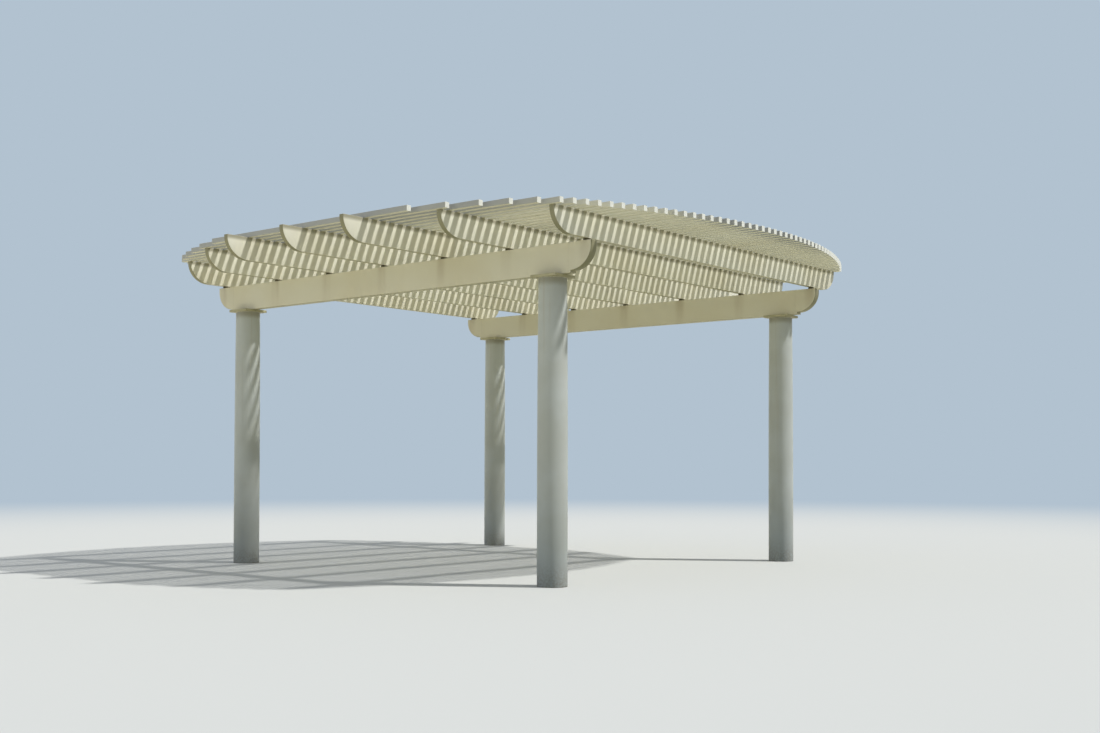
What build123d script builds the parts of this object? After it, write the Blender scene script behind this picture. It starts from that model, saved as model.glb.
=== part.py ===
# Free-standing garden pergola: four tapered round columns, two beams, seven rafters and a flat
# lattice of slats whose ends are cut to a square plan with bowed sides.
# X runs along the rafters, Y along the beams, Z up. The origin is on the ground, midway
# between the four columns. Lengths are in millimetres.
import os
from math import sqrt

from build123d import *

# Columns
COLUMN_SPACING_X = 3600.0  # between column centres, across the beams
COLUMN_SPACING_Y = 3810.0  # between column centres, along a beam
COLUMN_BASE_DIAMETER = 241.0
COLUMN_NECK_DIAMETER = 226.0
COLUMN_HEIGHT = 2418.0
COLUMN_STRAIGHT_PART = 0.33  # share of the height that keeps the base diameter
COLUMN_FOOT_CHAMFER = 3.0

# Square plate on top of each column
CAP_PLATE_SIDE = 254.0
CAP_PLATE_THICKNESS = 22.0
CAP_PLATE_CORNER = 6.0

# Beams
BEAM_THICKNESS = 75.0
BEAM_DEPTH = 240.0
BEAM_OVERHANG = 405.0  # from a column's centre to the beam's tip
BEAM_LIP = 35.0
BEAM_NOSE_LENGTH = 200.0
BEAM_NOSE_STEP = 20.0
BEAM_EDGE_ROUND = 4.0

# Packers that hold each rafter a little above the beam it crosses
PACKER_THICKNESS = 16.0
PACKER_LENGTH = 60.0  # across the beam, inside its rounded edges
PACKER_WIDTH = 34.0  # along the beam, narrower than the rafter

# Rafters: three long ones in the middle, a medium and a short one towards each end
RAFTER_THICKNESS = 45.0
RAFTER_DEPTH = 200.0
RAFTER_PITCH = 725.0
END_RAFTER_SETBACK = 65.0  # from the beam's tip to the end rafter's centre
LONG_RAFTER_OVERHANG = 1153.0  # from a beam's centre to the rafter's tip
RAFTER_LIP = 12.0
RAFTER_NOSE_LENGTH = 220.0
RAFTER_EDGE_ROUND = 3.0

# Slats of the lattice
SLAT_WIDTH = 44.0
SLAT_HEIGHT = 44.0
SLAT_PITCH = 95.0
SLAT_MIN_TAIL = 100.0  # least length of a slat past the last rafter that carries it
SLATS_PER_GROUP = 5

# Plan of the roof: all four sides are bowed
BOW_RADIUS = 4770.0
SLAT_OVERHANG = 650.0  # of the middle slats, past the centre of an end rafter
LONG_TAIL_LEAD = 87.0  # of the long rafters' tips, past the middle of the side's bow
MEDIUM_TAIL_SETBACK = 13.0  # of the medium rafters' tips, behind the side's bow
SHORT_TAIL_SETBACK = 57.0  # of the end rafters' tips, behind the side's bow

# Levels and places that follow from the sizes above
plate_level = COLUMN_HEIGHT
beam_level = plate_level + CAP_PLATE_THICKNESS
packer_level = beam_level + BEAM_DEPTH
rafter_level = packer_level + PACKER_THICKNESS
slat_level = rafter_level + RAFTER_DEPTH
column_x = COLUMN_SPACING_X / 2
column_y = COLUMN_SPACING_Y / 2
beam_half_length = column_y + BEAM_OVERHANG
end_rafter_y = beam_half_length - END_RAFTER_SETBACK
long_half_length = column_x + LONG_RAFTER_OVERHANG
side_reach = long_half_length - LONG_TAIL_LEAD
end_reach = end_rafter_y + SLAT_OVERHANG


def bow(reach, offset):
    """How far a bowed side stands out at an offset from its middle, where it stands out by reach."""
    return reach - BOW_RADIUS + sqrt(max(BOW_RADIUS**2 - offset**2, 0))


def column():
    """Round column: straight in its lower part, then drawn in by a long curve to the neck."""
    base_radius = COLUMN_BASE_DIAMETER / 2
    neck_radius = COLUMN_NECK_DIAMETER / 2
    straight_top = COLUMN_HEIGHT * COLUMN_STRAIGHT_PART
    rise = COLUMN_HEIGHT - straight_top
    # the curve is an arc that starts upright where the straight part ends
    draw_in = base_radius - neck_radius
    sweep_radius = (rise**2 + draw_in**2) / (2 * draw_in)
    mid_rise = rise / 2
    mid_radius = base_radius - (sweep_radius - sqrt(sweep_radius**2 - mid_rise**2))
    with BuildPart() as part:
        with BuildSketch(Plane.XZ):
            with BuildLine():
                Polyline(
                    (0, COLUMN_HEIGHT),
                    (0, 0),
                    (base_radius - COLUMN_FOOT_CHAMFER, 0),
                    (base_radius, COLUMN_FOOT_CHAMFER),
                    (base_radius, straight_top),
                )
                ThreePointArc(
                    (base_radius, straight_top),
                    (mid_radius, straight_top + mid_rise),
                    (neck_radius, COLUMN_HEIGHT),
                )
                Line((neck_radius, COLUMN_HEIGHT), (0, COLUMN_HEIGHT))
            make_face()
        revolve(axis=Axis.Z)
    return part.part


def cap_plate():
    """Square plate between a column and its beam, with slightly rounded corners."""
    with BuildPart() as part:
        with BuildSketch(Plane.XY.offset(plate_level)):
            RectangleRounded(CAP_PLATE_SIDE, CAP_PLATE_SIDE, CAP_PLATE_CORNER)
        extrude(amount=CAP_PLATE_THICKNESS)
    return part.part


def board(half_length, depth, thickness, lip, nose_length, nose_step, edge_round):
    """Board on edge along X, standing on Z=0, with a quarter-round nose under both tips.

    From the tip down, an end has a short upright lip, the nose, and on a beam a small
    step down to the flat underside.
    """
    nose_height = depth - lip - nose_step
    root = half_length - nose_length
    with BuildPart() as part:
        with BuildSketch(Plane.XZ):
            with BuildLine():
                Line((root, 0), (-root, 0))
                if nose_step > 0:
                    Line((root, nose_step), (root, 0))
                    Line((-root, 0), (-root, nose_step))
                EllipticalCenterArc(
                    (-root, nose_step + nose_height),
                    nose_length,
                    nose_height,
                    start_angle=180,
                    arc_size=90,
                )
                Polyline(
                    (-half_length, depth - lip),
                    (-half_length, depth),
                    (half_length, depth),
                    (half_length, depth - lip),
                )
                EllipticalCenterArc(
                    (root, nose_step + nose_height),
                    nose_length,
                    nose_height,
                    start_angle=270,
                    arc_size=90,
                )
            make_face()
        extrude(amount=thickness / 2, both=True)
        long_edges = part.edges().filter_by(Axis.X).filter_by(lambda e: e.length > thickness)
        fillet(long_edges, edge_round)
    return part.part


def beam():
    """Beam along Y over the middle of the frame, at its height."""
    lying = board(
        beam_half_length,
        BEAM_DEPTH,
        BEAM_THICKNESS,
        BEAM_LIP,
        BEAM_NOSE_LENGTH,
        BEAM_NOSE_STEP,
        BEAM_EDGE_ROUND,
    )
    return Pos(0, 0, beam_level) * Rot(0, 0, 90) * lying


def packer(x, y):
    """Flat packer on a beam's top, in the middle of a crossing."""
    middle = Pos(x, y, packer_level + PACKER_THICKNESS / 2)
    return middle * Box(PACKER_LENGTH, PACKER_WIDTH, PACKER_THICKNESS)


def rafter(half_length):
    """Rafter along X over the middle of the frame, resting on the packers of both beams."""
    lying = board(
        half_length,
        RAFTER_DEPTH,
        RAFTER_THICKNESS,
        RAFTER_LIP,
        RAFTER_NOSE_LENGTH,
        0,
        RAFTER_EDGE_ROUND,
    )
    return Pos(0, 0, rafter_level) * lying


def slat_half_length(x):
    """Half the length of the slat at x, which ends where it meets the bowed plan."""
    to_end = bow(end_reach, x)
    side_centre = side_reach - BOW_RADIUS
    to_side = sqrt(max(BOW_RADIUS**2 - (abs(x) - side_centre) ** 2, 0))
    return min(to_end, to_side)


def slat(x):
    """One slat of the lattice, along Y on top of the rafters."""
    middle = Pos(x, 0, slat_level + SLAT_HEIGHT / 2)
    return middle * Box(SLAT_WIDTH, 2 * slat_half_length(x), SLAT_HEIGHT)


def slat_places():
    """Centres of the slats on one side: as many as still cross all the long rafters."""
    least = RAFTER_PITCH + RAFTER_THICKNESS / 2 + SLAT_MIN_TAIL
    places = []
    x = SLAT_PITCH / 2
    while x + SLAT_WIDTH / 2 < side_reach and slat_half_length(x) >= least:
        places.append(x)
        x += SLAT_PITCH
    return places


# Every node is one piece, or a group of like pieces that lie side by side
nodes = {}

for end, y in (("front", -column_y), ("back", column_y)):
    for side, x in (("left", -column_x), ("right", column_x)):
        nodes[f"column_{end}_{side}"] = Pos(x, y, 0) * column()
        nodes[f"cap_plate_{end}_{side}"] = Pos(x, y, 0) * cap_plate()

for side, x in (("left", -column_x), ("right", column_x)):
    nodes[f"beam_{side}"] = Pos(x, 0, 0) * beam()

# the long rafters reach past the middle of the side's bow, and the others stop behind it
medium_rafter_y = 2 * RAFTER_PITCH
half_thickness = RAFTER_THICKNESS / 2
medium_half_length = bow(side_reach, medium_rafter_y + half_thickness) - MEDIUM_TAIL_SETBACK
short_half_length = bow(side_reach, end_rafter_y + half_thickness) - SHORT_TAIL_SETBACK
rafter_rows = [
    ("rafter_front", -end_rafter_y, short_half_length),
    ("rafter_front_medium", -medium_rafter_y, medium_half_length),
    ("rafter_front_long", -RAFTER_PITCH, long_half_length),
    ("rafter_middle", 0, long_half_length),
    ("rafter_back_long", RAFTER_PITCH, long_half_length),
    ("rafter_back_medium", medium_rafter_y, medium_half_length),
    ("rafter_back", end_rafter_y, short_half_length),
]
for name, y, half_length in rafter_rows:
    nodes[name] = Pos(0, y, 0) * rafter(half_length)

for side, x in (("left", -column_x), ("right", column_x)):
    packers = [packer(x, y) for name, y, half_length in rafter_rows]
    nodes[f"rafter_packers_{side}"] = Compound(children=packers)

half_lattice = slat_places()
for side, sign in (("left", -1), ("right", 1)):
    for first in range(0, len(half_lattice), SLATS_PER_GROUP):
        group = half_lattice[first : first + SLATS_PER_GROUP]
        number = first // SLATS_PER_GROUP + 1
        nodes[f"slats_{side}_{number}"] = Compound(children=[slat(sign * x) for x in group])

os.makedirs("parts", exist_ok=True)
for name, shape in nodes.items():
    shape.label = name
    export_step(shape, f"parts/{name}.step")
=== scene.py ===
import math

import bmesh
import bpy
from mathutils import Matrix, Vector


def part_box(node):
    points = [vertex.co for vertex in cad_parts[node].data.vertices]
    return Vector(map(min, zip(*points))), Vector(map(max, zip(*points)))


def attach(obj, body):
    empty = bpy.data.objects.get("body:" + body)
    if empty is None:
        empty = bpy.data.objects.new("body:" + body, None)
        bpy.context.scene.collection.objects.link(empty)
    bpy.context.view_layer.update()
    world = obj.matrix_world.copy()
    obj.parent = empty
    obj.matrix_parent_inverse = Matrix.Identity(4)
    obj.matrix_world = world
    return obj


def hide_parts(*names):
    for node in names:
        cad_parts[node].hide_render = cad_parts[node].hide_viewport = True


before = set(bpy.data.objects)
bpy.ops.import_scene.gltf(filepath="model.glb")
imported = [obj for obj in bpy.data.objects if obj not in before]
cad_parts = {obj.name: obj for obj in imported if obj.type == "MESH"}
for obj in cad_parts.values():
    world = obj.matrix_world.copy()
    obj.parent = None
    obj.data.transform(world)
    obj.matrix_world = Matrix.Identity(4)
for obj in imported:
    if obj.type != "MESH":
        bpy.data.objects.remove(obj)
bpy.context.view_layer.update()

# Shape of the noses and rounded edges, as in the solids
BEAM_LIP = 0.035
BEAM_NOSE = 0.200
BEAM_NOSE_STEP = 0.020
BEAM_ROUND = 0.004
RAFTER_LIP = 0.012
RAFTER_NOSE = 0.220
RAFTER_ROUND = 0.003
SLAT_ROUND = 0.003
PACKER_ROUND = 0.004
NOSE_STEPS = 20
COLUMN_NECK_RADIUS = 0.113
COLUMN_STRAIGHT_PART = 0.33
COLUMN_FOOT_ROUND = 0.003
COLUMN_STEPS = 96
COLUMN_SWEEP_STEPS = 14
COLUMN_FOOT_STEPS = 4
# Joint between a length of board and the moulded end that is plugged into it
END_CAP_TENON = 0.022
CAP_JOINT_WIDTH = 0.0010
CAP_JOINT_DEPTH = 0.0005
SLAT_CAP_LENGTH = 0.006
SLAT_CAP_RIM = 0.0012
# Softened corners and rims of the cap plates
PLATE_CORNER = 0.006
PLATE_RIM = 0.0015
# Bead of sealant round a column's neck, and how far its middle stands out and down
BEAD_RADIUS = 0.0035
BEAD_STEPS = 10
BEAD_OUT = 0.001
BEAD_DOWN = 0.0015
# Screw caps, and how far they stay from the ends of what they hold
SCREW_CAP_RADIUS = 0.0075
SCREW_CAP_TOP_RADIUS = 0.0065
SCREW_CAP_HEIGHT = 0.002
SCREW_CAP_SLOPE = 0.0025
SCREW_CAP_CROWN = 0.0009
SCREW_CAP_STEPS = 10
SCREW_MARGIN = 0.02
# Points nearer than this are the same
SAME_PLACE = 1e-5
# Faces that meet at more than this many degrees keep a sharp edge
SHARP_FROM = 16

# Paint, dirt, painted shade and painted light, as sRGB
VINYL = (231, 229, 214)
VINYL_AGED = (222, 217, 196)
SHELL = (195, 200, 198)
SHELL_AGED = (183, 186, 179)
DUST = (184, 177, 157)
BROWN_MARK = (167, 151, 121)
SOIL = (139, 121, 95)
NECK_SHADE_BROWN = (124, 112, 72)
GRIME = (122, 117, 98)
SEALANT = (204, 201, 188)
PACKER_AND_GAP_SHADE = (74, 70, 52)
PACKER_FADED_AND_GAP_SHADE = (98, 92, 70)
UNDERSIDE_DIRT_AND_SHADE = (158, 152, 120)
PLATE_STAIN = (188, 182, 150)
PLATE_STAIN_AND_SHADE = (164, 158, 124)
END_WHITE_AND_LIGHT = (240, 241, 236)
BEAM_WARM_BOUNCE = (203, 191, 152)
NOSE_DIRT_AND_SHADE = (126, 123, 94)
SEAT_SHADE = (114, 108, 76)
SLAT_SIDE_SHADE = (152, 155, 159)
BACKDROP = (178, 194, 208)
FLOOR = (203, 204, 200)
FLOOR_BOUNCE = (228, 222, 190)
FOOT_BOUNCE = (92, 101, 92)
FRONT_BOUNCE = (158, 160, 142)

# Where dirt and painted shade start, and where they are at full strength
SEAT_SHADE_DEPTH = (0.048, 0.014)  # below a rafter's top
SEAT_SHADE_SPREAD = (0.17, 0.08)  # from a slat's middle, as a share of the slats' pitch
STREAK_SPREAD = (0.075, 0.02)  # from the middle of the piece above
NOSE_DIRT_AND_SHADE_START = (0.01, 0.06)  # past the end cap's joint
JOINT_GRIME_SPREAD = (0.001, 0.0003)
SIDE_SHADE_ACROSS = (1.9, 2.5)  # slats this far from the middle, along X
SIDE_SHADE_ALONG = (2.6, 2.85)  # slats' ends this far from the middle, along Y
NECK_SHADE_DEPTH = (0.075, 0.02)  # below a column's top
SPLASH_HEIGHT = 0.26
FOOT_GRIME_HEIGHT = 0.012
VINYL_GLOSS = {"Specular IOR Level": 0.45}
BUMP_DISTANCE = 0.001

# Light
DOME = 0.57
DOME_COLOUR = (0.88, 0.95, 1.06, 1)
DOME_FRONT_LOSS = 0.5  # share of its light missing at the front
KEY = 3.0
KEY_SOFTNESS = 2
KEY_FROM = (0.30, -0.50, 0.81)
KEY_COLOUR = (1.0, 0.99, 0.97)

# Floor, and where its colour for bounced light changes
FLOOR_RADIUS = 60
FLOOR_STEPS = 96
FLOOR_FADE = (7.0, 24.0)  # from the origin, into the backdrop
FOOT_SHADE = (2.1, 1.1)  # from a column's foot
FRONT_SHADE = (-2.2, -5.0)  # along Y

# Camera, fitted to the photograph
FRAME_WIDTH = 1100
FRAME_HEIGHT = 733
FOCAL_PIXELS = 1315.026
CENTRE_ROW = 434.493
PITCH = 0.02186
ROLL = 0.00222
YAW = 0.68552
CAMERA_PLACE = (-9.7922, -8.4160, 0.9640)
SENSOR_WIDTH = 36
FARTHEST_SEEN = 200


def linear(srgb):
    """An sRGB colour of 0 to 255 as Blender's linear colour."""
    parts = [c / 255 for c in srgb]
    return (*[c / 12.92 if c <= 0.04045 else ((c + 0.055) / 1.055) ** 2.4 for c in parts], 1)


class Wire:
    """A socket in a finish's nodes. Arithmetic on it adds the Math nodes."""

    def __init__(self, tree, socket=None):
        self.tree = tree
        self.socket = socket

    def node(self, kind, settings=None, inputs=None, output=0):
        """Adds a node with its settings first, then the values or links of its sockets."""
        made = self.tree.nodes.new(kind)
        for key, value in (settings or {}).items():
            setattr(made, key, value)
        for key, value in (inputs or {}).items():
            if isinstance(value, Wire):
                self.tree.links.new(value.socket, made.inputs[key])
            else:
                made.inputs[key].default_value = value
        return Wire(self.tree, made.outputs[output])

    def math(self, operation, *values):
        return self.node("ShaderNodeMath", {"operation": operation}, dict(enumerate(values)))

    def __add__(self, other):
        return self.math("ADD", self, other)

    def __sub__(self, other):
        return self.math("SUBTRACT", self, other)

    def __rsub__(self, other):
        return self.math("SUBTRACT", other, self)

    def __mul__(self, other):
        return self.math("MULTIPLY", self, other)

    __radd__ = __add__
    __rmul__ = __mul__

    def size(self):
        return self.math("ABSOLUTE", self)

    def or_more(self, other):
        return self.math("MAXIMUM", self, other)

    def rise(self, low, high):
        """0 below low, 1 above high and smooth between them; low may be the larger one."""
        return self.node(
            "ShaderNodeMapRange",
            {"interpolation_type": "SMOOTHSTEP"},
            {0: self, 1: low, 2: high, 3: 0.0, 4: 1.0},
        )

    def stretch(self, x, y, z):
        return self.node("ShaderNodeVectorMath", {"operation": "MULTIPLY"}, {0: self, 1: (x, y, z)})

    def noise(self, scale, detail=3.0, roughness=0.5):
        inputs = {"Vector": self, "Scale": scale, "Detail": detail, "Roughness": roughness}
        return self.node("ShaderNodeTexNoise", {"noise_dimensions": "3D"}, inputs)

    def over(self, colour, mask):
        """This colour with another one over it where the mask is 1."""
        top = colour if isinstance(colour, Wire) else linear(colour)
        return self.node("ShaderNodeMix", {"data_type": "RGBA"}, {0: mask, 6: self, 7: top}, 2)

    def axis(self, name):
        parts = {"X": 0, "Y": 1, "Z": 2}
        return self.node("ShaderNodeSeparateXYZ", None, {0: self}, parts[name])


def finish(name, build):
    """A material whose colour, roughness and bump come from build(place, facing)."""
    material = bpy.data.materials.new(name)
    material.use_nodes = True
    tree = material.node_tree
    shader = tree.nodes["Principled BSDF"]
    start = Wire(tree)
    place = start.node("ShaderNodeTexCoord", output=3)
    facing = start.node("ShaderNodeTexCoord", output=1)
    colour, roughness, height, bump, settings = build(place, facing)
    tree.links.new(colour.socket, shader.inputs["Base Color"])
    tree.links.new(roughness.socket, shader.inputs["Roughness"])
    bumps = {"Strength": bump, "Distance": BUMP_DISTANCE, "Height": height}
    normal = start.node("ShaderNodeBump", None, bumps)
    tree.links.new(normal.socket, shader.inputs["Normal"])
    for socket, value in settings.items():
        shader.inputs[socket].default_value = value
    return material


def plain_colour(place, srgb):
    """A colour as a socket, to lay others over."""
    paint = linear(srgb)
    return place.node("ShaderNodeMix", {"data_type": "RGBA"}, {0: 0.0, 6: paint, 7: paint}, 2)


def moulded_skin(place):
    """Height of moulded plastic: a fine orange peel over long, slow waves."""
    peel = place.noise(260, 2, 0.6)
    waves = place.noise(5, 1)
    return peel * 0.10 + waves * 0.35


def vinyl_board(along, across, joint_at, streak_places, level, depth, seat_pitch=0.0):
    """Finish of a board on edge: aged vinyl, dusty on top and marked below what it carries.

    A rafter has painted shade below its slats, seat_pitch apart. A beam has a darker band at
    streak_places.
    """

    def build(place, facing):
        run = place.axis(along)
        height = place.axis("Z")
        up = facing.axis("Z")
        on_top = up.rise(0.5, 0.95)
        on_side = facing.axis(across).size().rise(0.5, 0.9)
        patchy = place.noise(1.6, 4, 0.55)
        fine = place.noise(38, 4, 0.6)
        colour = plain_colour(place, VINYL).over(VINYL_AGED, patchy.rise(0.35, 0.72) * 0.75)
        if seat_pitch > 0:
            # painted shade on the rafter's sides just below each slat
            slot = (run * (1 / seat_pitch)).math("FRACT")
            below = height.rise(*[level + depth - down for down in SEAT_SHADE_DEPTH])
            seat = (slot - 0.5).size().rise(*SEAT_SHADE_SPREAD) * below
            colour = colour.over(SEAT_SHADE, seat * on_side * 0.68)
        else:
            # a warm tan over the whole beam: painted warm light bounced from the ground
            colour = colour.over(BEAM_WARM_BOUNCE, 0.25)
        # under each piece on top: a darker soft band that fades downwards
        near = None
        for spot in streak_places:
            band = (run.size() - spot).size().rise(*STREAK_SPREAD)
            near = band if near is None else near.or_more(band)
        if near is not None:
            stretch = {"X": (5, 1, 0.8), "Y": (1, 5, 0.8)}[along]
            broken = place.stretch(*stretch).noise(1.6, 3, 0.5).rise(0.3, 0.65) * 0.7 + 0.3
            fade = height.rise(level - 0.08, level + depth)
            colour = colour.over(BROWN_MARK, near * broken * on_side * (fade * 0.34 + 0.05))
        # dirt and painted shade on the underside, most of all on the curved noses
        under = (1 - on_side) * (1 - up.rise(0.1, 0.6))
        colour = colour.over(UNDERSIDE_DIRT_AND_SHADE, under * (patchy * 0.5 + 0.45))
        nose = run.size().rise(*[joint_at + past for past in NOSE_DIRT_AND_SHADE_START])
        colour = colour.over(NOSE_DIRT_AND_SHADE, under * nose * 0.72)
        # dust on the top, grime in the joint of the end caps
        colour = colour.over(DUST, on_top * (fine.rise(0.2, 0.8) * 0.5 + 0.25))
        joint = (run.size() - joint_at).size()
        colour = colour.over(GRIME, joint.rise(*JOINT_GRIME_SPREAD) * 0.2)
        roughness = 0.36 + fine * 0.1 + on_top * 0.25 + patchy * 0.06
        return colour, roughness, moulded_skin(place), 0.5, VINYL_GLOSS

    return build


def slat_vinyl(pitch):
    """Finish of the slats: slightly different batches, dusty on top, with whiter end caps, whitened
    further as painted light.
    """

    def build(place, facing):
        on_top = facing.axis("Z").rise(0.5, 0.95)
        ends = facing.axis("Y").size().rise(0.6, 0.95)
        across = place.axis("X")
        number = across.math("FLOOR", across * (1 / pitch))
        batch = number.node("ShaderNodeTexWhiteNoise", {"noise_dimensions": "1D"}, {"W": number})
        patchy = place.stretch(1, 0.35, 1).noise(2.3, 4, 0.55)
        fine = place.noise(45, 4, 0.6)
        aged = batch * 0.45 + patchy.rise(0.4, 0.75) * 0.4
        colour = plain_colour(place, VINYL).over(VINYL_AGED, aged)
        colour = colour.over(DUST, on_top * (fine.rise(0.25, 0.8) * 0.5 + 0.2))
        spots = place.stretch(1, 0.5, 1).noise(24, 3, 0.7).rise(0.66, 0.78)
        colour = colour.over(BROWN_MARK, spots * 0.3 * (1 - ends))
        # painted blue-grey shade on the sides of the outermost slats
        sides = facing.axis("X").size().rise(0.6, 0.95)
        outer = across.size().rise(*SIDE_SHADE_ACROSS)
        outer = outer.or_more(place.axis("Y").size().rise(*SIDE_SHADE_ALONG))
        colour = colour.over(SLAT_SIDE_SHADE, sides * outer * (patchy * 0.3 + 0.6))
        # whiter end caps, partly painted light on the ends
        colour = colour.over(END_WHITE_AND_LIGHT, ends * 0.8)
        roughness = 0.38 + fine * 0.1 + on_top * 0.22
        return colour, roughness, moulded_skin(place), 0.5, VINYL_GLOSS

    return build


def column_shell(top):
    """Finish of the painted column shells: splashed foot, painted brown shade at the neck, faint
    runs.
    """

    def build(place, facing):
        height = place.axis("Z")
        patchy = place.noise(2.2, 4, 0.55)
        fine = place.noise(60, 4, 0.65)
        colour = plain_colour(place, SHELL).over(SHELL_AGED, patchy.rise(0.35, 0.7) * 0.7)
        threads = place.stretch(26, 26, 0.7).noise(1.2, 4, 0.6).rise(0.52, 0.72)
        colour = colour.over(BROWN_MARK, threads * (height.rise(0.9, top) * 0.2 + 0.05))
        # painted brown shade just below the cap plate
        neck = [top - down for down in NECK_SHADE_DEPTH]
        neck_shade = (height + (patchy - 0.5) * 0.05).rise(*neck)
        colour = colour.over(NECK_SHADE_BROWN, neck_shade * 0.5)
        edge = height + (fine - 0.5) * 0.12 + (patchy - 0.5) * 0.2
        splash = edge.rise(SPLASH_HEIGHT, 0.0)
        colour = colour.over(SOIL, splash * fine.rise(0.3, 0.75) * 0.55)
        colour = colour.over(GRIME, height.rise(FOOT_GRIME_HEIGHT, 0.0) * 0.6)
        laid = place.stretch(1, 1, 0.35).noise(9, 2)
        skin = place.noise(190, 2, 0.6) * 0.12 + laid * 1.6
        roughness = 0.42 + fine * 0.1 + splash * 0.2
        return colour, roughness, skin, 0.5, VINYL_GLOSS

    return build


def plate_vinyl(place, facing):
    """Finish of the cap plates: stained in patches, dusty above and darker below as painted shade.
    """
    up = facing.axis("Z")
    patchy = place.noise(9, 4, 0.6)
    fine = place.noise(70, 3, 0.6)
    colour = plain_colour(place, PLATE_STAIN).over(PLATE_STAIN_AND_SHADE, patchy.rise(0.3, 0.7) * 0.8)
    colour = colour.over(DUST, up.rise(0.5, 0.95) * (fine * 0.4 + 0.35))
    # painted shade on the plate's underside
    colour = colour.over(PLATE_STAIN_AND_SHADE, (0 - up).rise(0.5, 0.95) * 0.6)
    roughness = 0.4 + fine * 0.12
    return colour, roughness, moulded_skin(place), 0.5, VINYL_GLOSS


def packer_plastic(place, facing):
    """Finish of the packers: dark and matt, faded and dusty in patches. Their darkness is partly
    painted shade of the gap between rafter and beam.
    """
    patchy = place.noise(40, 3, 0.6)
    colour = plain_colour(place, PACKER_AND_GAP_SHADE).over(PACKER_FADED_AND_GAP_SHADE, patchy.rise(0.35, 0.7))
    colour = colour.over(DUST, place.noise(130, 3, 0.6).rise(0.6, 0.8) * 0.3)
    return colour, 0.6 + patchy * 0.2, patchy * 0.4, 0.5, {"Specular IOR Level": 0.35}


def sealant_bead(place, facing):
    """Finish of the sealant: grey-white, a little glossy, with dirt held on it."""
    dirt = place.noise(55, 4, 0.65)
    colour = plain_colour(place, SEALANT).over(GRIME, dirt.rise(0.42, 0.75) * 0.55)
    return colour, 0.3 + dirt * 0.2, dirt * 1.0, 0.6, {"Specular IOR Level": 0.5}


def screw_paint(place, facing):
    """Finish of the screw caps: the slats' white, dusty in patches."""
    dirt = place.noise(240, 3, 0.6)
    colour = plain_colour(place, VINYL).over(DUST, dirt.rise(0.3, 0.8) * 0.6)
    return colour, 0.35 + dirt * 0.25, dirt * 0.5, 0.4, VINYL_GLOSS


def add_piece(name, shape, material, stands_for=()):
    """Makes a finished bmesh a piece of the pergola, in place of the solids it stands for."""
    mesh = bpy.data.meshes.new(name)
    shape.to_mesh(mesh)
    shape.free()
    mesh.materials.append(material)
    mesh.shade_smooth()
    mesh.set_sharp_from_angle(angle=math.radians(SHARP_FROM))
    made = bpy.data.objects.new(name, mesh)
    bpy.context.scene.collection.objects.link(made)
    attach(made, "root")
    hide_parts(*stands_for)


def join(shapes):
    """One bmesh with all the given ones in it."""
    whole = bmesh.new()
    for shape in shapes:
        part = bpy.data.meshes.new("part")
        shape.to_mesh(part)
        shape.free()
        whole.from_mesh(part)
        bpy.data.meshes.remove(part)
    return whole


def round_edges(shape, edges, radius, segments=3):
    """Rounds the given edges of a bmesh."""
    bmesh.ops.bevel(
        shape,
        geom=edges,
        offset=radius,
        offset_type="OFFSET",
        affect="EDGES",
        segments=segments,
        profile=0.5,
        material=-1,
        clamp_overlap=True,
    )


def cap_joint(shape, x, half_thickness, middle):
    """A shallow V-shaped joint line round a board at x, where its end cap is plugged in."""
    for cut in (x - CAP_JOINT_WIDTH / 2, x, x + CAP_JOINT_WIDTH / 2):
        everything = shape.verts[:] + shape.edges[:] + shape.faces[:]
        bmesh.ops.bisect_plane(shape, geom=everything, plane_co=(cut, 0, 0), plane_no=(1, 0, 0))
    groove = [v for v in shape.verts if abs(v.co.x - x) < SAME_PLACE]
    narrower = 1 - CAP_JOINT_DEPTH / half_thickness
    lower = 1 - CAP_JOINT_DEPTH / middle
    to_middle = Matrix.Translation((0, 0, -middle))
    bmesh.ops.scale(shape, vec=(1, narrower, lower), space=to_middle, verts=groove)


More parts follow.
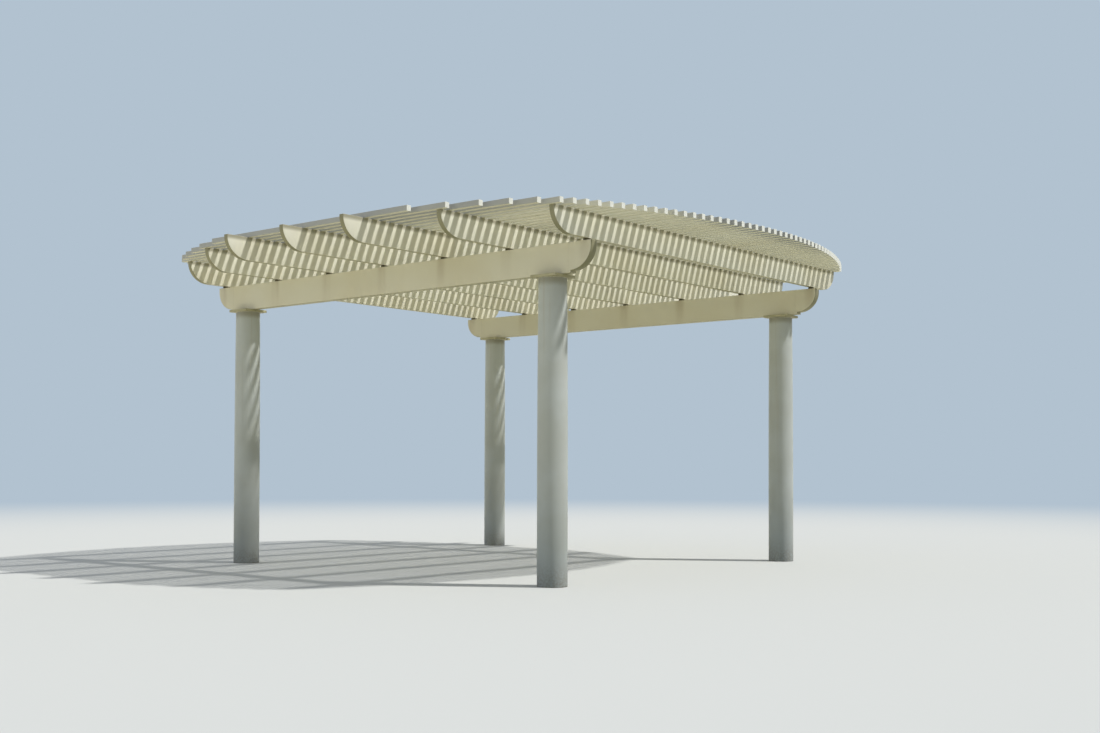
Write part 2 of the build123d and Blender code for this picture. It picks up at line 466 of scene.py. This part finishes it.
def nosed_board(half_length, depth, thickness, lip, nose, step, edge_round):
    """Board on edge along X, standing on Z=0, with a quarter-round nose under both tips."""
    shape = bmesh.new()
    root = half_length - nose
    # the nose is a spun quarter circle, stretched to its length and height
    tip = shape.verts.new((1, 0, 0))
    bmesh.ops.spin(
        shape, geom=[tip], axis=(0, 1, 0), cent=(0, 0, 0), angle=math.pi / 2, steps=NOSE_STEPS
    )
    bmesh.ops.scale(shape, vec=(nose, 1, depth - lip - step), verts=shape.verts)
    bmesh.ops.translate(shape, vec=(root, 0, depth - lip), verts=shape.verts)
    shape.verts.ensure_lookup_table()
    heel = min(shape.verts, key=lambda v: v.co.z)
    outline = [heel]
    if step > 0:
        outline.append(shape.verts.new((root, 0, 0)))
    outline.append(shape.verts.new((0, 0, 0)))
    outline.append(shape.verts.new((0, 0, depth)))
    outline.append(shape.verts.new((half_length, 0, depth)))
    outline.append(tip)
    for a, b in zip(outline, outline[1:]):
        shape.edges.new((a, b))
    bmesh.ops.contextual_create(shape, geom=shape.edges[:])
    everything = shape.verts[:] + shape.edges[:] + shape.faces[:]
    bmesh.ops.mirror(shape, geom=everything, matrix=Matrix.Identity(4), merge_dist=1e-6, axis="X")
    far_side = bmesh.ops.extrude_face_region(shape, geom=shape.faces[:])["geom"]
    moved = [v for v in far_side if isinstance(v, bmesh.types.BMVert)]
    bmesh.ops.translate(shape, vec=(0, thickness, 0), verts=moved)
    bmesh.ops.translate(shape, vec=(0, -thickness / 2, 0), verts=shape.verts)
    bmesh.ops.recalc_face_normals(shape, faces=shape.faces[:])
    rims = []
    for edge in shape.edges:
        flat = [abs(f.normal.y) > 0.99 for f in edge.link_faces]
        across = abs(edge.verts[0].co.y - edge.verts[1].co.y) > thickness / 2
        if flat.count(True) == 1 or (across and edge.calc_face_angle_signed(0) > 0.7):
            rims.append(edge)
    round_edges(shape, rims, edge_round)
    for sign in (-1, 1):
        cap_joint(shape, sign * (root - END_CAP_TENON), thickness / 2, depth / 2)
    return shape


def sealant_ring(radius, height):
    """A bead of sealant laid in a circle about Z."""
    shape = bmesh.new()
    bmesh.ops.create_circle(shape, segments=BEAD_STEPS, radius=BEAD_RADIUS)
    stand = Matrix.Translation((radius, 0, height)) @ Matrix.Rotation(math.pi / 2, 4, "X")
    bmesh.ops.transform(shape, matrix=stand, verts=shape.verts)
    bmesh.ops.spin(
        shape, geom=shape.verts[:] + shape.edges[:], axis=(0, 0, 1), cent=(0, 0, 0),
        angle=2 * math.pi, steps=COLUMN_STEPS, use_merge=True,
    )
    bmesh.ops.recalc_face_normals(shape, faces=shape.faces[:])
    return shape


def tapered_column(base_radius, neck_radius, top):
    """Round column with a softened foot, straight below and drawn in by a long curve above."""
    shape = bmesh.new()
    straight_top = top * COLUMN_STRAIGHT_PART
    rise = top - straight_top
    draw_in = base_radius - neck_radius
    sweep = (rise**2 + draw_in**2) / (2 * draw_in)
    shoulder = shape.verts.new((base_radius, 0, straight_top))
    bmesh.ops.spin(
        shape, geom=[shoulder], axis=(0, 1, 0), cent=(base_radius - sweep, 0, straight_top),
        angle=-math.asin(rise / sweep), steps=COLUMN_SWEEP_STEPS,
    )
    foot = shape.verts.new((base_radius, 0, COLUMN_FOOT_ROUND))
    bmesh.ops.spin(
        shape, geom=[foot], axis=(0, 1, 0),
        cent=(base_radius - COLUMN_FOOT_ROUND, 0, COLUMN_FOOT_ROUND),
        angle=math.pi / 2, steps=COLUMN_FOOT_STEPS,
    )
    shape.edges.new((shoulder, foot))
    lowest = min(shape.verts, key=lambda v: v.co.z)
    highest = max(shape.verts, key=lambda v: v.co.z)
    shape.edges.new((lowest, shape.verts.new((0, 0, 0))))
    shape.edges.new((highest, shape.verts.new((0, 0, top))))
    bmesh.ops.spin(
        shape, geom=shape.verts[:] + shape.edges[:], axis=(0, 0, 1), cent=(0, 0, 0),
        angle=2 * math.pi, steps=COLUMN_STEPS, use_merge=True,
    )
    bmesh.ops.remove_doubles(shape, verts=shape.verts[:], dist=SAME_PLACE)
    bmesh.ops.recalc_face_normals(shape, faces=shape.faces[:])
    return shape


def block(low, high):
    """A box between two corners."""
    shape = bmesh.new()
    bmesh.ops.create_cube(shape, size=1)
    bmesh.ops.scale(shape, vec=high - low, verts=shape.verts)
    bmesh.ops.translate(shape, vec=(high + low) / 2, verts=shape.verts)
    return shape


def softened_plate(low, high):
    """Square plate with rounded corners and softened rims."""
    shape = block(low, high)
    corners = [e for e in shape.edges if abs(e.verts[0].co.z - e.verts[1].co.z) > 0.001]
    round_edges(shape, corners, PLATE_CORNER, 4)
    rims = [e for e in shape.edges if abs(e.calc_face_angle(0)) > 1.2]
    round_edges(shape, rims, PLATE_RIM, 2)
    return shape


def softened_packer(low, high):
    """Flat packer with its upright corners rounded."""
    shape = block(low, high)
    corners = [e for e in shape.edges if abs(e.verts[0].co.z - e.verts[1].co.z) > 0.001]
    round_edges(shape, corners, PACKER_ROUND, 3)
    return shape


def capped_slat(x, width, half_length, low, high):
    """Square tube on its rafters, with rounded long edges and a flat cap pushed into each end."""
    shape = block(
        Vector((x - width / 2, -half_length, low)), Vector((x + width / 2, half_length, high))
    )
    long_edges = [e for e in shape.edges if abs(e.verts[0].co.y - e.verts[1].co.y) > width]
    round_edges(shape, long_edges, SLAT_ROUND, 2)
    ends = [f for f in shape.faces if abs(f.normal.y) > 0.9]
    bmesh.ops.inset_region(shape, faces=ends, thickness=SLAT_CAP_RIM, depth=0.0)
    for sign in (-1, 1):
        plane = sign * (half_length - SLAT_CAP_LENGTH)
        for cut in (plane - CAP_JOINT_WIDTH / 2, plane, plane + CAP_JOINT_WIDTH / 2):
            everything = shape.verts[:] + shape.edges[:] + shape.faces[:]
            bmesh.ops.bisect_plane(
                shape, geom=everything, plane_co=(0, cut, 0), plane_no=(0, 1, 0)
            )
        groove = [v for v in shape.verts if abs(v.co.y - plane) < SAME_PLACE]
        thinner = 1 - 2 * CAP_JOINT_DEPTH / width
        to_middle = Matrix.Translation((-x, 0, -(low + high) / 2))
        bmesh.ops.scale(shape, vec=(thinner, 1, thinner), space=to_middle, verts=groove)
    return shape


def screw_cap(x, y, z):
    """Low domed cap over a screw head."""
    shape = bmesh.new()
    bmesh.ops.create_cone(
        shape, cap_ends=True, segments=SCREW_CAP_STEPS, radius1=SCREW_CAP_RADIUS,
        radius2=SCREW_CAP_TOP_RADIUS, depth=SCREW_CAP_HEIGHT,
    )
    crown = [f for f in shape.faces if f.normal.z > 0.9]
    bmesh.ops.inset_region(
        shape, faces=crown, thickness=SCREW_CAP_SLOPE, depth=SCREW_CAP_CROWN
    )
    bmesh.ops.translate(shape, vec=(x, y, z + SCREW_CAP_HEIGHT / 2), verts=shape.verts)
    return shape


# Columns, their sealant and plates
column_names = [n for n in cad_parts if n.startswith("column_")]
column_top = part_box(column_names[0])[1].z
shell = finish("column_shell", column_shell(column_top))
bead = finish("sealant", sealant_bead)
plate = finish("cap_plate_vinyl", plate_vinyl)
for name in column_names:
    low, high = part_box(name)
    spot = (low + high) / 2
    column_spot = Vector((abs(spot.x), abs(spot.y), 0))
    column = tapered_column((high.x - low.x) / 2, COLUMN_NECK_RADIUS, high.z)
    bmesh.ops.translate(column, vec=(spot.x, spot.y, 0), verts=column.verts)
    add_piece(name + "_shell", column, shell, [name])
    seal = sealant_ring(COLUMN_NECK_RADIUS + BEAD_OUT, high.z - BEAD_DOWN)
    bmesh.ops.translate(seal, vec=(spot.x, spot.y, 0), verts=seal.verts)
    add_piece(name.replace("column", "sealant"), seal, bead)
    plate_name = name.replace("column", "cap_plate")
    moulded = softened_plate(*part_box(plate_name))
    add_piece(plate_name + "_moulded", moulded, plate, [plate_name])

# Where the slats lie, for the painted shade below them on the rafters
slat_names = [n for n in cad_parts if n.startswith("slats_")]
slat_runs = {}
for name in slat_names:
    reach = {}
    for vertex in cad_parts[name].data.vertices:
        reach[round(vertex.co.x, 4)] = abs(vertex.co.y)
    edges = sorted(reach)
    slat_runs[name] = [((a + b) / 2, b - a, reach[a]) for a, b in zip(edges[::2], edges[1::2])]
inner = sorted(x for x, _, _ in slat_runs["slats_right_1"])
slat_pitch = inner[1] - inner[0]

# Rafters, on the beams
packer_names = [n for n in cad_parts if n.startswith("rafter_packers_")]
rafter_names = [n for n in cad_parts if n.startswith("rafter_") and n not in packer_names]
rafter_spots = []
for name in rafter_names:
    low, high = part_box(name)
    half_length = high.x
    depth = high.z - low.z
    thickness = high.y - low.y
    middle_y = (low.y + high.y) / 2
    rafter_spots.append((middle_y, half_length))
    joint_at = half_length - RAFTER_NOSE - END_CAP_TENON
    vinyl = finish(name + "_vinyl", vinyl_board("X", "Y", joint_at, [], low.z, depth, slat_pitch))
    rafter = nosed_board(half_length, depth, thickness, RAFTER_LIP, RAFTER_NOSE, 0, RAFTER_ROUND)
    bmesh.ops.translate(rafter, vec=(0, middle_y, low.z), verts=rafter.verts)
    add_piece(name + "_board", rafter, vinyl, [name])

# Beams, with a darker band below every rafter
rafter_distances = sorted({round(abs(y), 4) for y, _ in rafter_spots})
for name in ("beam_left", "beam_right"):
    low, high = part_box(name)
    half_length = high.y
    depth = high.z - low.z
    joint_at = half_length - BEAM_NOSE - END_CAP_TENON
    vinyl = finish(name + "_vinyl", vinyl_board("Y", "X", joint_at, rafter_distances, low.z, depth))
    beam = nosed_board(
        half_length, depth, high.x - low.x, BEAM_LIP, BEAM_NOSE, BEAM_NOSE_STEP, BEAM_ROUND
    )
    lay = Matrix.Translation(((low.x + high.x) / 2, 0, low.z)) @ Matrix.Rotation(math.pi / 2, 4, "Z")
    bmesh.ops.transform(beam, matrix=lay, verts=beam.verts)
    add_piece(name + "_board", beam, vinyl, [name])

# Packers in the crossings, dark partly as painted shade of the gap there
packer_shade_finish = finish("packer_plastic", packer_plastic)
for name in packer_names:
    low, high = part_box(name)
    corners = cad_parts[name].data.vertices
    ends = sorted({round(v.co.y, 4) for v in corners})
    packers = join(
        softened_packer(Vector((low.x, front, low.z)), Vector((high.x, back, high.z)))
        for front, back in zip(ends[::2], ends[1::2])
    )
    add_piece(name + "_moulded", packers, packer_shade_finish, [name])

# Slats, and a screw cap wherever a slat crosses a rafter
slat_finish = finish("slat_vinyl", slat_vinyl(slat_pitch))
cap_paint = finish("screw_cap_paint", screw_paint)
for name, runs in slat_runs.items():
    low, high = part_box(name)
    slats = join(
        capped_slat(x, width, half_length, low.z, high.z) for x, width, half_length in runs
    )
    add_piece(name + "_capped", slats, slat_finish, [name])
    caps = join(
        screw_cap(x, y, high.z)
        for x, _, half_length in runs
        for y, rafter_reach in rafter_spots
        if abs(x) < rafter_reach - SCREW_MARGIN and abs(y) < half_length - SCREW_MARGIN
    )
    add_piece(name.replace("slats", "screw_caps"), caps, cap_paint)


def build_floor(foot):
    """Pale floor that keeps the shadow and passes into the backdrop further out.

    Its colour for bounced light, which the camera doesn't see, is darker near the columns'
    feet and at the front.
    """
    shape = bmesh.new()
    bmesh.ops.create_circle(shape, cap_ends=True, segments=FLOOR_STEPS, radius=FLOOR_RADIUS)
    mesh = bpy.data.meshes.new("floor")
    shape.to_mesh(mesh)
    shape.free()
    floor = bpy.data.objects.new("floor", mesh)
    bpy.context.scene.collection.objects.link(floor)
    material = bpy.data.materials.new("floor")
    material.use_nodes = True
    tree = material.node_tree
    start = Wire(tree)
    place = start.node("ShaderNodeTexCoord", output=3)
    away = place.node("ShaderNodeVectorMath", {"operation": "LENGTH"}, {0: place}, 1)
    seen = start.node("ShaderNodeLightPath", output=0)
    # the feet lie alike in the four quarters of the plan, so one of them stands for all
    quarter = place.node("ShaderNodeVectorMath", {"operation": "ABSOLUTE"}, {0: place})
    ends = {0: quarter, 1: foot}
    from_foot = quarter.node("ShaderNodeVectorMath", {"operation": "DISTANCE"}, ends, 1)
    in_front = place.axis("Y").rise(*FRONT_SHADE)
    ground = plain_colour(start, FLOOR_BOUNCE).over(FRONT_BOUNCE, in_front * 0.8)
    ground = ground.over(FOOT_BOUNCE, from_foot.rise(*FOOT_SHADE)).over(FLOOR, seen)
    matt = start.node("ShaderNodeBsdfDiffuse", None, {"Color": ground})
    air = start.node("ShaderNodeEmission", None, {"Color": linear(BACKDROP), "Strength": 1.0})
    faded = away.rise(*FLOOR_FADE) * seen
    blend = start.node("ShaderNodeMixShader", None, {0: faded, 1: matt, 2: air})
    tree.links.new(blend.socket, tree.nodes["Material Output"].inputs["Surface"])
    mesh.materials.append(material)


def build_light():
    """Soft studio light: a dome, dimmer at the front, and one lamp high from the front right."""
    world = bpy.data.worlds.new("studio")
    world.use_nodes = True
    tree = world.node_tree
    start = Wire(tree)
    seen = start.node("ShaderNodeLightPath", output=0)
    # with less of the dome on its side, the lamp draws clear stripes through the lattice
    towards_front = 0 - start.node("ShaderNodeTexCoord", output=0).axis("Y")
    level = DOME - towards_front.rise(0.0, 1.0) * (DOME * DOME_FRONT_LOSS)
    dome = start.node("ShaderNodeBackground", None, {"Color": DOME_COLOUR, "Strength": level})
    seen_air = {"Color": linear(BACKDROP), "Strength": 1.0}
    backdrop = start.node("ShaderNodeBackground", None, seen_air)
    both = start.node("ShaderNodeMixShader", None, {0: seen, 1: dome, 2: backdrop})
    tree.links.new(both.socket, tree.nodes["World Output"].inputs["Surface"])
    bpy.context.scene.world = world
    data = bpy.data.lights.new("key", "SUN")
    data.energy = KEY
    data.angle = math.radians(KEY_SOFTNESS)
    data.color = KEY_COLOUR
    key = bpy.data.objects.new("key", data)
    key.rotation_euler = Vector(KEY_FROM).to_track_quat("Z", "Y").to_euler()
    bpy.context.scene.collection.objects.link(key)


def build_camera():
    """Camera at the photograph's place: its fitted direction, lens and shift."""
    look = Vector(
        (math.cos(YAW) * math.cos(PITCH), math.sin(YAW) * math.cos(PITCH), math.sin(PITCH))
    )
    level = Vector((math.sin(YAW), -math.cos(YAW), 0))
    upward = level.cross(look)
    right = level * math.cos(ROLL) + upward * math.sin(ROLL)
    above = upward * math.cos(ROLL) - level * math.sin(ROLL)
    turn = Matrix((right, above, -look)).transposed()
    data = bpy.data.cameras.new("camera")
    data.sensor_width = SENSOR_WIDTH
    data.lens = SENSOR_WIDTH * FOCAL_PIXELS / FRAME_WIDTH
    data.shift_y = (CENTRE_ROW - FRAME_HEIGHT / 2) / FRAME_WIDTH
    data.clip_end = FARTHEST_SEEN
    camera = bpy.data.objects.new("camera", data)
    camera.matrix_world = Matrix.Translation(CAMERA_PLACE) @ turn.to_4x4()
    bpy.context.scene.collection.objects.link(camera)
    bpy.context.scene.camera = camera


build_floor((column_spot.x, column_spot.y, 0))
build_light()
build_camera()
bpy.context.scene.view_settings.view_transform = "Standard"
